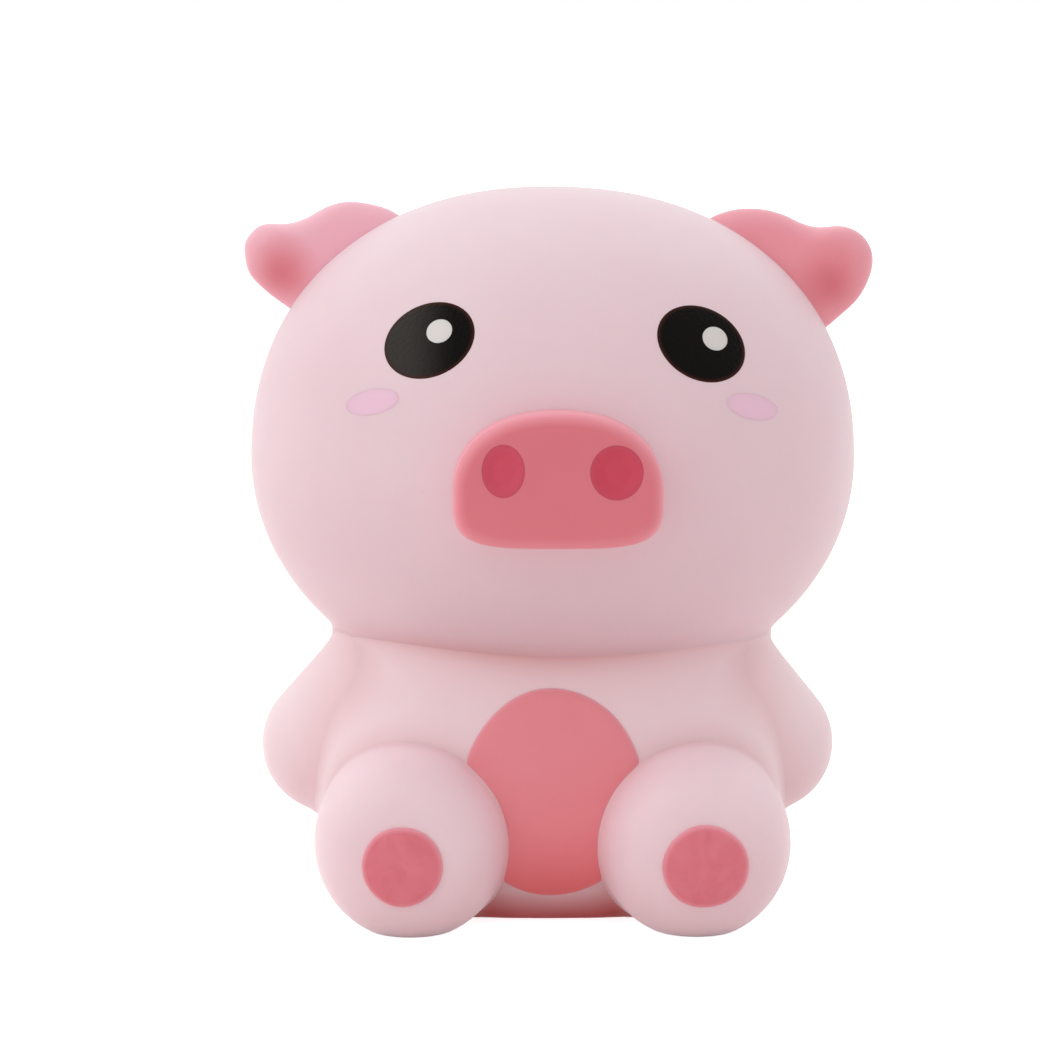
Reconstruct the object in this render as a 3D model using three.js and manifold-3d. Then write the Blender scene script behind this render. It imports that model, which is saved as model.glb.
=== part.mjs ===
import * as THREE from 'three';
import { mergeVertices } from 'three/addons/utils/BufferGeometryUtils.js';
import Module from 'manifold-3d';

// A sitting pig squeeze toy, in millimetres. +Z is up, the face looks along -Y,
// and the toy stands on Z = 0. Left and right are the toy's own.

const wasm = await Module();
wasm.setup();

// Fits
const seatGap = 0.3;          // clearance between pieces that lie against each other
const footFlat = 1.5;         // depth by which the round soles are flattened on the table
const printThickness = 0.4;   // raised paint of the eyes, glints, blushes and nostrils

// Soft skin
const headWall = 3.2;
const torsoWall = 3;
const neckHoleRadius = 14;    // where the filling of the head runs on into the torso

// Head, measured from its widest line
const neckZ = 35;
const headAboveNeck = 21;     // from the neck up to the widest line
const headHalfWidth = 38;
const headHalfDepth = 31.5;
const crownRise = 34;
const jawDrop = 31;
const crownPower = 2.2;       // 2 is an ellipse, more is boxier
const jawPower = 2;
const headPlanPower = 2.1;
const jawTuck = 0.15;         // share of its depth that the head has lost where the jaw would close
const headLean = 0.8;         // degrees, towards the toy's left, about the middle of the neck

// Torso, measured from its widest line
const torsoWidestZ = 13;
const torsoHalfWidth = 29.5;
const torsoHalfDepth = 23.4;
const torsoBack = 1;          // the torso sits this far behind the head's middle
const shoulderRise = 42.2;
const baseDrop = 17.5;
const shoulderPower = 2.26;
const torsoPlanPower = 2.58;

// Arms, from shoulder to hand
const shoulderZ = 29;
const shoulderInset = 8.4;    // middle of the shoulder inside the torso's side
const shoulderForward = 6.2;  // and in front of its middle
const shoulderRadius = 9;
const handZ = 18.9;
const handInset = 1.7;
const handBack = 2.5;         // the hand lies behind the middle of the torso
const handRadius = 8.9;

// Legs, round about their own axis
const legX = 16.9;
const legRadius = 12.1;
const hipInset = 8.4;         // the thickest ring behind the front of the torso
const thighLength = 10;
const soleLength = 18;        // from the thickest ring to the tip of the sole
const solePower = 3.2;
const legSplay = 3;           // degrees outwards

// Foot pads
const footPadRadius = 5;
const footPadHeight = 0.8;
const footPadDrop = 0.6;      // middle below the axis of the leg

// Belly patch, an oval on the front of the torso
const bellyRise = 3.7;        // above the torso's widest line
const bellyHalfWidth = 11;
const bellyHalfHeight = 13;
const bellyHeight = 0.9;

// Snout, measured from its widest line
const snoutDrop = 1;          // below the head's widest line
const snoutHalfWidth = 12.45;
const snoutTop = 9.8;
const snoutBottom = 6.3;
const snoutTopPower = 2.25;
const snoutBottomPower = 3.8;
const snoutReach = 5.5;       // how far its face stands in front of the head
const snoutRimRadius = 1.8;

// Nostrils, round dishes in the face of the snout
const nostrilX = 6.8;
const nostrilRise = 3;
const nostrilRadius = 3.4;
const nostrilDepth = 1.4;

// Eyes and the marks beside them, as ovals seen from the front
const eyeX = 16.3;
const eyeRise = 16.4;
const eyeHalfLength = 5.7;
const eyeHalfHeight = 4.1;
const eyeTilt = 28;           // degrees, outer end down
const markShift = 0.8;        // eyes and blushes sit this far towards the toy's left
const glintShiftX = 1.4;      // towards the toy's left in both eyes
const glintRise = 1.1;
const glintHalfLength = 1.6;
const glintHalfHeight = 1.3;
const blushX = 22.8;
const blushRise = 8.9;
const blushHalfLength = 3.2;
const blushHalfHeight = 1.45;
const blushTilt = 15;

// Ears: a thick flap on a round root that lies in a groove along the top corner of the head
const earTopRise = 30.2;      // upper end of the root above the head's widest line
const earBottomRise = 17.6;
const earBack = 1.5;
const earRootRadius = 2.5;
const earRootLift = 0.9;      // axis above the chord between the two ends
const earRootInset = 1.6;     // the round root stops this far short of each end
const earHalfThickness = 2.4;
const leftEarReach = 11.3;    // flap height above the chord
const rightEarReach = 10.6;
const earLobeRadius = 4.6;
const earLobeHalfThickness = 3.2;
const leftLobeInset = 3.1;    // middle of the lobe before the lower end of the root
const rightLobeInset = 4.2;
const earLobeForward = 0.8;
const earDishRadius = 5;      // ball that leaves the hollow in the front of the lobe
const earDishDepth = 1.3;
const earSwing = 20;          // degrees each way
const earBossWall = 2.2;

// Outlines of the ears from the upper end of the root round the lobe to the lower end,
// as shares of the root's length and of the reach
const leftEarOutline = [
  [-0.03, -0.25], [0, 0.03], [0.08, 0.26], [0.2, 0.45], [0.33, 0.57], [0.46, 0.64], [0.56, 0.73],
  [0.66, 0.9], [0.75, 0.98], [0.85, 0.99], [0.95, 0.92], [1.03, 0.75], [1.08, 0.47], [1.07, 0.16],
  [1.04, -0.25],
];
const rightEarOutline = [
  [0, -0.25], [0.02, 0.03], [0.08, 0.25], [0.2, 0.5], [0.33, 0.63], [0.5, 0.7], [0.61, 0.79],
  [0.72, 0.95], [0.8, 0.99], [0.9, 0.95], [0.97, 0.82], [1.02, 0.62], [1.01, 0.33], [0.97, 0],
  [0.96, -0.25],
];

// Tail, a small curl
const tailZ = 11;
const tailCurlRadius = 3;
const tailTurns = 1.1;
const tailReach = 6;
const tailThickRadius = 1.7;
const tailThinRadius = 1;

// Filler plug, behind the middle of the base
const plugBack = 6.5;
const plugRadius = 4.5;
const plugFlangeRadius = 6;
const plugFlangeHeight = 1.2;
const plugRecess = 0.4;

// Fineness
const bigColumns = 36;
const bigRows = 20;
const innerColumns = 26;
const innerRows = 14;
const limbColumns = 24;
const limbRows = 12;
const legRows = 9;
const ovalSides = 28;
const earColumns = 18;
const earRows = 9;
const earOutlineSteps = 24;
const tailSides = 10;
const tailSteps = 22;

// Places that follow from the sizes
const headWidestZ = neckZ + headAboveNeck;
const hipY = torsoBack - torsoHalfDepth + hipInset;
const legZ = legRadius - footFlat;
const snoutZ = headWidestZ - snoutDrop;
const snoutFaceY = -headHalfDepth - snoutReach;

// Half of a swelling form's width at a height above its widest line
function widthAt(halfWidth, reach, power, height) {
  return halfWidth * (1 - (height / reach) ** power) ** (1 / power);
}
const headWidthAt = (height) => widthAt(headHalfWidth, crownRise, crownPower, height);
const torsoWidthAt = (z) => widthAt(torsoHalfWidth, shoulderRise, shoulderPower, z - torsoWidestZ);

const degree = Math.PI / 180;
const far = 200;              // longer than the toy, for cutting tools
const tiny = 1e-5;            // points closer than this are one point

const skinPink = new THREE.MeshStandardMaterial({ color: 0xe9cdd2, roughness: 0.62, metalness: 0 });
const legPink = new THREE.MeshStandardMaterial({ color: 0xe8cace, roughness: 0.62, metalness: 0 });
const rosePink = new THREE.MeshStandardMaterial({ color: 0xd3757f, roughness: 0.55, metalness: 0 });
const earPink = new THREE.MeshStandardMaterial({ color: 0xe58f9b, roughness: 0.55, metalness: 0 });
const deepRose = new THREE.MeshStandardMaterial({ color: 0xc24a5f, roughness: 0.5, metalness: 0 });
const eyeBlack = new THREE.MeshStandardMaterial({ color: 0x201d1d, roughness: 0.45, metalness: 0 });
const glintWhite = new THREE.MeshStandardMaterial({ color: 0xe4e0dc, roughness: 0.4, metalness: 0 });
const blushLilac = new THREE.MeshStandardMaterial({ color: 0xe4bdcf, roughness: 0.55, metalness: 0 });
const plugPink = new THREE.MeshStandardMaterial({ color: 0xdcb4ba, roughness: 0.6, metalness: 0 });
const fillWhite = new THREE.MeshStandardMaterial({ color: 0xf0e8e4, roughness: 0.9, metalness: 0 });

// A closed geometry becomes a solid that can be joined and cut
function solidOf(geometry) {
  geometry.deleteAttribute('normal');
  geometry.deleteAttribute('uv');
  const merged = mergeVertices(geometry, tiny);
  return new wasm.Manifold(new wasm.Mesh({
    numProp: 3,
    vertProperties: new Float32Array(merged.attributes.position.array),
    triVerts: new Uint32Array(merged.index.array),
  }));
}

function geometryOf(solid) {
  const mesh = solid.getMesh();
  const geometry = new THREE.BufferGeometry();
  geometry.setAttribute('position', new THREE.BufferAttribute(mesh.vertProperties, 3));
  geometry.setIndex(new THREE.BufferAttribute(mesh.triVerts, 1));
  geometry.computeVertexNormals();
  return geometry;
}

// Sign-keeping power, which turns a circle into a superellipse
const bulge = (value, power) => Math.sign(value) * Math.abs(value) ** (2 / power);

// A form that swells from its widest line: oval in plan, and its own height and power above and below.
// Its lower half loses a share of its depth, the tuck, by the square of the way down.
function swelling({
  halfWidth, halfDepth, rise, drop, risePower, dropPower, planPower, tuck, columns, rows,
}) {
  const geometry = new THREE.SphereGeometry(1, columns, rows);
  geometry.rotateX(Math.PI / 2);
  const place = geometry.attributes.position;
  for (let i = 0; i < place.count; i += 1) {
    const up = place.getZ(i);
    const out = Math.hypot(place.getX(i), place.getY(i));
    const turn = Math.atan2(place.getY(i), place.getX(i));
    const [height, power] = up > 0 ? [rise, risePower] : [drop, dropPower];
    const round = out < tiny ? 0 : Math.abs(bulge(out, power));
    const depth = halfDepth * (1 - tuck * Math.min(up, 0) ** 2);
    place.setXYZ(
      i,
      halfWidth * round * bulge(Math.cos(turn), planPower),
      depth * round * bulge(Math.sin(turn), planPower),
      height * bulge(up, power),
    );
  }
  return geometry;
}

// Rings of points, joined one after another and closed with a tip at each end
function skinOver(rings, firstTip, lastTip) {
  const sides = rings[0].length;
  const points = [firstTip, ...rings.flat(), lastTip];
  const last = points.length - 1;
  const faces = [];
  for (let side = 0; side < sides; side += 1) {
    const next = (side + 1) % sides;
    faces.push(0, 1 + next, 1 + side);
    for (let ring = 0; ring < rings.length - 1; ring += 1) {
      const here = 1 + ring * sides;
      const there = here + sides;
      faces.push(here + side, here + next, there + next);
      faces.push(here + side, there + next, there + side);
    }
    faces.push(last, last - sides + side, last - sides + next);
  }
  const geometry = new THREE.BufferGeometry().setFromPoints(points);
  geometry.setIndex(faces);
  return geometry;
}

// An oval bar along Y, for cutting a mark out of a curved layer
function ovalBar(halfLength, halfHeight, tilt, x, z, fromY, toY) {
  const geometry = new THREE.CylinderGeometry(1, 1, toY - fromY, ovalSides);
  geometry.scale(halfLength, 1, halfHeight);
  geometry.rotateY(-tilt * degree);
  geometry.translate(x, (fromY + toY) / 2, z);
  return solidOf(geometry);
}

// Head form, grown outwards by a distance (inwards when negative)
function headForm(grow, columns = bigColumns, rows = bigRows) {
  const geometry = swelling({
    halfWidth: headHalfWidth + grow,
    halfDepth: headHalfDepth + grow,
    rise: crownRise + grow,
    drop: jawDrop + grow,
    risePower: crownPower,
    dropPower: jawPower,
    planPower: headPlanPower,
    tuck: jawTuck,
    columns,
    rows,
  });
  geometry.translate(0, 0, headWidestZ);
  return solidOf(geometry);
}

// The head stands a little off upright, turned about the middle of the neck
const leaned = (solid) => solid.translate([0, 0, -neckZ]).rotate([0, headLean, 0]).translate([0, 0, neckZ]);

function torsoForm(grow, columns = bigColumns, rows = bigRows) {
  const geometry = swelling({
    halfWidth: torsoHalfWidth + grow,
    halfDepth: torsoHalfDepth + grow,
    rise: shoulderRise + grow,
    drop: baseDrop + grow,
    risePower: shoulderPower,
    dropPower: 2,
    planPower: torsoPlanPower,
    tuck: 0,
    columns,
    rows,
  });
  geometry.translate(0, torsoBack, torsoWidestZ);
  return solidOf(geometry);
}

// Everything above a height
function above(height) {
  const geometry = new THREE.BoxGeometry(far, far, far);
  geometry.translate(0, 0, height + far / 2);
  return solidOf(geometry);
}

// An upright round bar
function uprightBar(radius, fromZ, toZ, y = 0) {
  const geometry = new THREE.CylinderGeometry(radius, radius, toZ - fromZ, limbColumns);
  geometry.rotateX(Math.PI / 2);
  geometry.translate(0, y, (fromZ + toZ) / 2);
  return solidOf(geometry);
}

// Ear frame for one side: along the root, out of the head, and towards the face
const earTop = new THREE.Vector3(headWidthAt(earTopRise), earBack, headWidestZ + earTopRise);
const earBottom = new THREE.Vector3(headWidthAt(earBottomRise), earBack, headWidestZ + earBottomRise);
const earRun = earBottom.clone().sub(earTop);
const earRootLength = earRun.length();
const earAlong = earRun.clone().normalize();
const earFront = new THREE.Vector3(0, -1, 0);
const earOut = new THREE.Vector3().crossVectors(earFront, earAlong);
const earPlace = new THREE.Matrix4()
  .makeBasis(earAlong, earOut, earFront)
  .setPosition(earTop);

// A round bar lying on the ear's hinge line
function earAxisBar(radius, from, to) {
  const geometry = new THREE.CylinderGeometry(radius, radius, to - from, limbColumns);
  geometry.rotateZ(-Math.PI / 2);
  geometry.translate((from + to) / 2, earRootLift, 0);
  geometry.applyMatrix4(earPlace);
  return solidOf(geometry);
}

// The head form as it stands when the ear is swung by an angle, seen from the ear
function headSeenFromEar(angle) {
  const back = earPlace.clone().invert();
  const geometry = geometryOf(headForm(seatGap)).applyMatrix4(back);
  geometry.translate(0, -earRootLift, 0);
  geometry.rotateX(angle * degree);
  geometry.translate(0, earRootLift, 0);
  geometry.applyMatrix4(earPlace);
  return solidOf(geometry);
}

// The hollow that gives the lobe its folded look
function earDish(reach, lobeInset) {
  const ball = new THREE.SphereGeometry(earDishRadius, earColumns, earRows);
  ball.translate(
    earRootLength - lobeInset,
    reach - earLobeRadius - earDishDepth,
    earLobeForward + earLobeHalfThickness + earDishRadius - earDishDepth,
  );
  ball.applyMatrix4(earPlace);
  return solidOf(ball);
}

function earFlap(reach, lobeInset, shares) {
  const points = shares.map(([along, out]) => new THREE.Vector2(along * earRootLength, out * reach));
  const outline = new THREE.Shape(new THREE.SplineCurve(points).getPoints(earOutlineSteps));
  const flap = new THREE.ExtrudeGeometry(outline, {
    depth: earHalfThickness,
    bevelEnabled: true,
    bevelThickness: earHalfThickness / 2,
    bevelSize: earHalfThickness / 2,
    bevelOffset: -earHalfThickness / 2,
    bevelSegments: 2,
  });
  flap.translate(0, 0, -earHalfThickness / 2);
  flap.applyMatrix4(earPlace);
  const lobe = new THREE.SphereGeometry(1, earColumns, earRows);
  lobe.scale(earLobeRadius, earLobeRadius, earLobeHalfThickness);
  lobe.translate(earRootLength - lobeInset, reach - earLobeRadius, earLobeForward);
  lobe.applyMatrix4(earPlace);
  return solidOf(flap).add(solidOf(lobe)).subtract(earDish(reach, lobeInset));
}

function earSolid(reach, lobeInset, shares) {
  let flap = earFlap(reach, lobeInset, shares);
  const root = earAxisBar(earRootRadius, earRootInset, earRootLength - earRootInset);
  for (const angle of [-earSwing, 0, earSwing]) {
    flap = flap.subtract(headSeenFromEar(angle).subtract(root));
  }
  return flap.add(root);
}

const mirrored = (solid) => solid.mirror([1, 0, 0]);
const bothSides = (solid) => solid.add(mirrored(solid));

function headSkin() {
  const outer = headForm(0);
  const cavity = headForm(-headWall, innerColumns, innerRows);
  const bosses = bothSides(earAxisBar(earRootRadius + seatGap + earBossWall, 0, earRootLength));
  const grooves = bothSides(earAxisBar(
    earRootRadius + seatGap, earRootInset - seatGap, earRootLength - earRootInset + seatGap,
  ));
  return outer
    .subtract(cavity.subtract(bosses))
    .subtract(grooves)
    .subtract(uprightBar(neckHoleRadius, headWidestZ - far, headWidestZ));
}

function headFilling() {
  const inside = headForm(-headWall - seatGap, innerColumns, innerRows);
  const bosses = bothSides(earAxisBar(
    earRootRadius + earBossWall + 2 * seatGap, -seatGap, earRootLength + seatGap,
  ));
  const neck = uprightBar(neckHoleRadius - seatGap, headWidestZ - far, headWidestZ).intersect(headForm(0));
  return inside.subtract(bosses).add(neck);
}

function torsoSkin() {
  const cavity = torsoForm(-torsoWall, innerColumns, innerRows).intersect(above(torsoWall));
  return torsoForm(0)
    .intersect(above(0))
    .subtract(cavity)
    .subtract(leaned(headForm(seatGap)))
    .subtract(uprightBar(plugRadius, -far, torsoWidestZ, plugBack));
}

function torsoFilling() {
  const plugRoom = uprightBar(
    plugFlangeRadius + seatGap, 0, torsoWall + plugFlangeHeight + 2 * seatGap, plugBack,
  );
  return torsoForm(-torsoWall - seatGap, innerColumns, innerRows)
    .intersect(above(torsoWall + seatGap))
    .subtract(leaned(headForm(seatGap)))
    .subtract(plugRoom);
}

// The plug's stem closes the hole, and its flange lies on the inside of the base
function fillerPlug() {
  const stem = uprightBar(plugRadius - seatGap, plugRecess, torsoWall + seatGap, plugBack);
  const flangeFrom = torsoWall + seatGap;
  return stem.add(uprightBar(plugFlangeRadius, flangeFrom, flangeFrom + plugFlangeHeight, plugBack));
}

// Two balls joined by a straight taper, from the shoulder down to the hand
function armSolid() {
  const start = new THREE.Vector3(
    torsoWidthAt(shoulderZ) - shoulderInset, torsoBack - shoulderForward, shoulderZ,
  );
  const end = new THREE.Vector3(torsoWidthAt(handZ) - handInset, torsoBack + handBack, handZ);
  const along = end.clone().sub(start);
  const length = along.length();
  const slant = Math.asin((handRadius - shoulderRadius) / length);
  const profile = [];
  const steps = limbRows / 2;
  for (let i = 0; i <= steps; i += 1) {
    const turn = -Math.PI / 2 + (Math.PI / 2 - slant) * (i / steps);
    profile.push(new THREE.Vector2(shoulderRadius * Math.cos(turn), shoulderRadius * Math.sin(turn)));
  }
  for (let i = 0; i <= steps; i += 1) {
    const turn = -slant + (Math.PI / 2 + slant) * (i / steps);
    profile.push(new THREE.Vector2(handRadius * Math.cos(turn), length + handRadius * Math.sin(turn)));
  }
  profile[0].x = 0;
  profile[profile.length - 1].x = 0;
  const arm = new THREE.LatheGeometry(profile, limbColumns);
  const up = new THREE.Vector3(0, 1, 0);
  arm.applyQuaternion(new THREE.Quaternion().setFromUnitVectors(up, along.normalize()));
  arm.translate(start.x, start.y, start.z);
  return solidOf(arm)
    .subtract(torsoForm(seatGap))
    .subtract(leaned(headForm(seatGap)));
}

// A leg about its own axis: round behind, and a flatter dome at the sole
function legForm(grow) {
  const steps = legRows;
  const profile = [new THREE.Vector2(0, -thighLength - grow)];
  for (let i = 1; i < 2 * steps; i += 1) {
    const turn = -Math.PI / 2 + (Math.PI / 2) * (i / steps);
    const [length, power] = turn < 0 ? [thighLength, 2] : [soleLength, solePower];
    profile.push(new THREE.Vector2(
      (legRadius + grow) * Math.abs(bulge(Math.cos(turn), power)),
      (length + grow) * bulge(Math.sin(turn), power),
    ));
  }
  profile.push(new THREE.Vector2(0, soleLength + grow));
  const leg = new THREE.LatheGeometry(profile, limbColumns);
  leg.rotateX(Math.PI);
  leg.rotateZ(legSplay * degree);
  leg.translate(legX, hipY, legZ);
  return solidOf(leg);
}

function legSolid() {
  return legForm(0).intersect(above(0)).subtract(torsoForm(seatGap));
}

function footPad() {
  const layer = legForm(seatGap + footPadHeight).subtract(legForm(seatGap));
  const padX = legX + soleLength * Math.sin(legSplay * degree);
  const round = ovalBar(footPadRadius, footPadRadius, 0, padX, legZ - footPadDrop, hipY - far, hipY);
  return layer.intersect(round);
}

function bellyPatch() {
  const layer = torsoForm(seatGap + bellyHeight).subtract(torsoForm(seatGap));
  const oval = ovalBar(bellyHalfWidth, bellyHalfHeight, 0, 0, torsoWidestZ + bellyRise, -far, 0);
  return layer
    .intersect(oval)
    .subtract(bothSides(legForm(seatGap)))
    .subtract(leaned(headForm(seatGap)));
}

// The snout's outline at a scale, as a ring at a given Y
function snoutRing(inset, y) {
  const ring = [];
  for (let i = 0; i < ovalSides; i += 1) {
    const turn = (2 * Math.PI * i) / ovalSides;
    const top = Math.sin(turn) > 0;
    const power = top ? snoutTopPower : snoutBottomPower;
    const height = top ? snoutTop : snoutBottom;
    ring.push(new THREE.Vector3(
      (snoutHalfWidth - inset) * bulge(Math.cos(turn), power),
      y,
      snoutZ + (height - inset) * bulge(Math.sin(turn), power),
    ));
  }
  return ring;
}

function snoutForm() {
  const rings = [snoutRing(0, -headHalfDepth / 2)];
  const steps = 5;
  for (let i = 0; i <= steps; i += 1) {
    const turn = (Math.PI / 2) * (i / steps);
    rings.push(snoutRing(
      snoutRimRadius * (1 - Math.cos(turn)),
      snoutFaceY + snoutRimRadius * (1 - Math.sin(turn)),
    ));
  }
  const middle = (y) => new THREE.Vector3(0, y, snoutZ);
  return solidOf(skinOver(rings, middle(-headHalfDepth / 2), middle(snoutFaceY)));
}

// A shallow ball whose cap of the nostril's radius is as deep as the nostril
function nostrilBall(grow) {
  const ballRadius = (nostrilRadius ** 2 + nostrilDepth ** 2) / (2 * nostrilDepth);
  const ball = new THREE.SphereGeometry(ballRadius + grow, limbColumns, limbRows);
  ball.rotateX(Math.PI / 2);
  ball.translate(nostrilX, snoutFaceY + nostrilDepth - ballRadius, snoutZ + nostrilRise);
  return solidOf(ball);
}

function snoutSolid() {
  return snoutForm()
    .subtract(headForm(seatGap))
    .subtract(bothSides(nostrilBall(0)));
}

function nostrilSolid() {
  return nostrilBall(-seatGap).subtract(nostrilBall(-seatGap - printThickness)).intersect(snoutForm());
}

// A painted mark: an oval of a thin layer that lies on the head
function headMark(halfLength, halfHeight, tilt, x, z, under) {
  const layer = headForm(under + printThickness).subtract(headForm(under));
  return layer.intersect(ovalBar(halfLength, halfHeight, tilt, x, z, -far, 0));
}

function tailSolid() {
  const rings = [];
  const path = (t) => {
    const turn = 2 * Math.PI * tailTurns * t;
    return new THREE.Vector3(
      tailCurlRadius * Math.sin(turn),
      torsoBack + torsoHalfDepth - tailThickRadius + tailReach * t,
      tailZ + tailCurlRadius * (1 - Math.cos(turn)),
    );
  };
  const ahead = 1 / far;
  const up = new THREE.Vector3(0, 1, 0);
  for (let i = 0; i <= tailSteps; i += 1) {
    const t = i / tailSteps;
    const along = path(t + ahead).sub(path(t)).normalize();
    const sideways = new THREE.Vector3().crossVectors(up, along).normalize();
    const other = new THREE.Vector3().crossVectors(along, sideways);
    const radius = tailThickRadius + (tailThinRadius - tailThickRadius) * t;
    rings.push(Array.from({ length: tailSides }, (_, k) => {
      const turn = (2 * Math.PI * k) / tailSides;
      return path(t)
        .addScaledVector(sideways, radius * Math.cos(turn))
        .addScaledVector(other, radius * Math.sin(turn));
    }));
  }
  const tipRun = path(1).sub(path(1 - ahead)).normalize();
  const tip = path(1).addScaledVector(tipRun, tailThinRadius / 2);
  return solidOf(skinOver(rings, path(0), tip)).subtract(torsoForm(seatGap));
}

const toy = new THREE.Group();
const headGroup = new THREE.Group();
headGroup.position.set(0, 0, neckZ);
headGroup.rotation.set(0, headLean * degree, 0);
toy.add(headGroup);

function add(name, solid, material) {
  const mesh = new THREE.Mesh(geometryOf(solid), material);
  mesh.name = name;
  toy.add(mesh);
}

// A piece of the head is placed by the head's own group, and leans with it
function addToHead(name, solid, material) {
  const mesh = new THREE.Mesh(geometryOf(solid), material);
  mesh.name = name;
  mesh.position.set(0, 0, -neckZ);
  headGroup.add(mesh);
}

add('torso_skin', torsoSkin(), skinPink);
add('torso_filling', torsoFilling(), fillWhite);
add('filler_plug', fillerPlug(), plugPink);
add('belly_patch', bellyPatch(), rosePink);
add('tail', tailSolid(), earPink);
addToHead('head_skin', headSkin(), skinPink);
addToHead('head_filling', headFilling(), fillWhite);
addToHead('snout', snoutSolid(), rosePink);

// The toy's left is +X
for (const side of ['left', 'right']) {
  const sign = side === 'left' ? 1 : -1;
  const sided = (solid) => (sign > 0 ? solid : mirrored(solid));
  add(`${side}_arm`, sided(armSolid()), skinPink);
  add(`${side}_leg`, sided(legSolid()), legPink);
  add(`${side}_foot_pad`, sided(footPad()), rosePink);
  const ear = side === 'left'
    ? earSolid(leftEarReach, leftLobeInset, leftEarOutline)
    : earSolid(rightEarReach, rightLobeInset, rightEarOutline);
  addToHead(`${side}_ear`, sided(ear), earPink);
  addToHead(`${side}_nostril`, sided(nostrilSolid()), deepRose);
  const eyeMiddle = sign * eyeX + markShift;
  addToHead(`${side}_eye`, headMark(
    eyeHalfLength, eyeHalfHeight, -sign * eyeTilt, eyeMiddle, headWidestZ + eyeRise, seatGap,
  ), eyeBlack);
  addToHead(`${side}_glint`, headMark(
    glintHalfLength, glintHalfHeight, -sign * eyeTilt,
    eyeMiddle + glintShiftX, headWidestZ + eyeRise + glintRise, 2 * seatGap + printThickness,
  ), glintWhite);
  addToHead(`${side}_blush`, headMark(
    blushHalfLength, blushHalfHeight, -sign * blushTilt,
    sign * blushX + markShift, headWidestZ + blushRise, seatGap,
  ), blushLilac);
}

export default toy;
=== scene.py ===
import math

import bpy
import numpy as np
from mathutils import Matrix, Vector


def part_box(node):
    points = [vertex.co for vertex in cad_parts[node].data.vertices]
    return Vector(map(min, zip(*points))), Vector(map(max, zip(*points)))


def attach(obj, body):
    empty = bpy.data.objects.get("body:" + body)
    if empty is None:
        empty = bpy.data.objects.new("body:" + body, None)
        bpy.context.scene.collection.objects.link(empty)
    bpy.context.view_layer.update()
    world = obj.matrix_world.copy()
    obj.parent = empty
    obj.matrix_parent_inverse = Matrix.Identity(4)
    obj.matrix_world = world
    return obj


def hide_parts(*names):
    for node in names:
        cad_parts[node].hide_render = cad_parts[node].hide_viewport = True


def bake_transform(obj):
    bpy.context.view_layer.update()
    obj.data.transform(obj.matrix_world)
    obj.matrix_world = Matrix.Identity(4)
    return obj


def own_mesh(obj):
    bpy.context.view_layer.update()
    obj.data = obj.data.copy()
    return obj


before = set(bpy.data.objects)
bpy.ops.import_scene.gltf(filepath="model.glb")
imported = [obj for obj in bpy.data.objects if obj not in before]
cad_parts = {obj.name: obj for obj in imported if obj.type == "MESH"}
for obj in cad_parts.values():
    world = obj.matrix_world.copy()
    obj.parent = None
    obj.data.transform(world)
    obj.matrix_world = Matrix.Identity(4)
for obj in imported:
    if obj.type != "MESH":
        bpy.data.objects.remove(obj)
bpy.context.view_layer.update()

mm = 0.001  # shapes are worked out in millimetres and put into the meshes in metres


# Lowest corner, highest corner and middle of a solid, in millimetres.
def nodeBox(node):
    low, high = (np.array(corner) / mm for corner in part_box(node))
    return low, high, (low + high) / 2


# Camera: a long lens a little above the toy, turned and rolled as in the photograph
cameraLook = {
    "distance": 520,
    "lookDown": 7.2,  # degrees
    "turn": 1.1,
    "roll": 0.1,
    "target": (0, -4, 45),
    "pictureSide": 1063,  # pixels
    "targetPixel": (550.8, 547),
    "pixelsPerMm": 7.96,
    "sensor": 36,
    "nearest": 0.01,  # metres, as is the next
    "farthest": 100,
}


def makeCamera(look):
    down, turn, roll = (math.radians(look[key]) for key in ("lookDown", "turn", "roll"))
    forward = Vector((math.sin(turn) * math.cos(down), math.cos(turn) * math.cos(down), -math.sin(down)))
    right = forward.cross(Vector((0, 0, 1))).normalized()
    up = right.cross(forward)
    rolledRight = right * math.cos(roll) + up * math.sin(roll)
    rolledUp = up * math.cos(roll) - right * math.sin(roll)
    data = bpy.data.cameras.new("camera")
    data.sensor_width = look["sensor"]
    data.lens = look["sensor"] * look["distance"] * look["pixelsPerMm"] / look["pictureSide"]
    half = look["pictureSide"] / 2
    data.shift_x = (half - look["targetPixel"][0]) / look["pictureSide"]
    data.shift_y = (look["targetPixel"][1] - half) / look["pictureSide"]
    data.clip_start = look["nearest"]
    data.clip_end = look["farthest"]
    camera = bpy.data.objects.new("camera", data)
    bpy.context.scene.collection.objects.link(camera)
    place = Matrix((rolledRight, rolledUp, -forward)).transposed().to_4x4()
    place.translation = (Vector(look["target"]) - forward * look["distance"]) * mm
    camera.matrix_world = place
    bpy.context.scene.camera = camera


makeCamera(cameraLook)
print("camera set")


# Distance-like fields. Each takes points as an array (..., 3) in mm: negative inside, positive outside.

sampling = {
    "nearMiddle": 0.05,  # least share of its radius at which a form is measured
    "step": 0.05,  # mm between points whose difference gives a slope
    "longestRay": 3.0,
    "rayHalvings": 22,
    "frontHalvings": 24,
    "crowdSteps": 2001,
}


# The smaller of two fields, with the corner between them filled over a reach in mm.
def smoothJoin(a, b, reach):
    near = np.maximum(reach - np.abs(a - b), 0) / reach
    return np.minimum(a, b) - near * near * reach / 4


# The larger of two fields, with the edge rounded over a reach in mm.
def smoothCut(a, b, reach):
    return -smoothJoin(-a, -b, reach)


# Distance along the line to the middle, from how many times its own surface radius a point is out.
def radial(offset, scaled):
    out = np.maximum(scaled, sampling["nearMiddle"])
    return np.linalg.norm(offset, axis=-1) * (1 - 1 / out)


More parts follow.
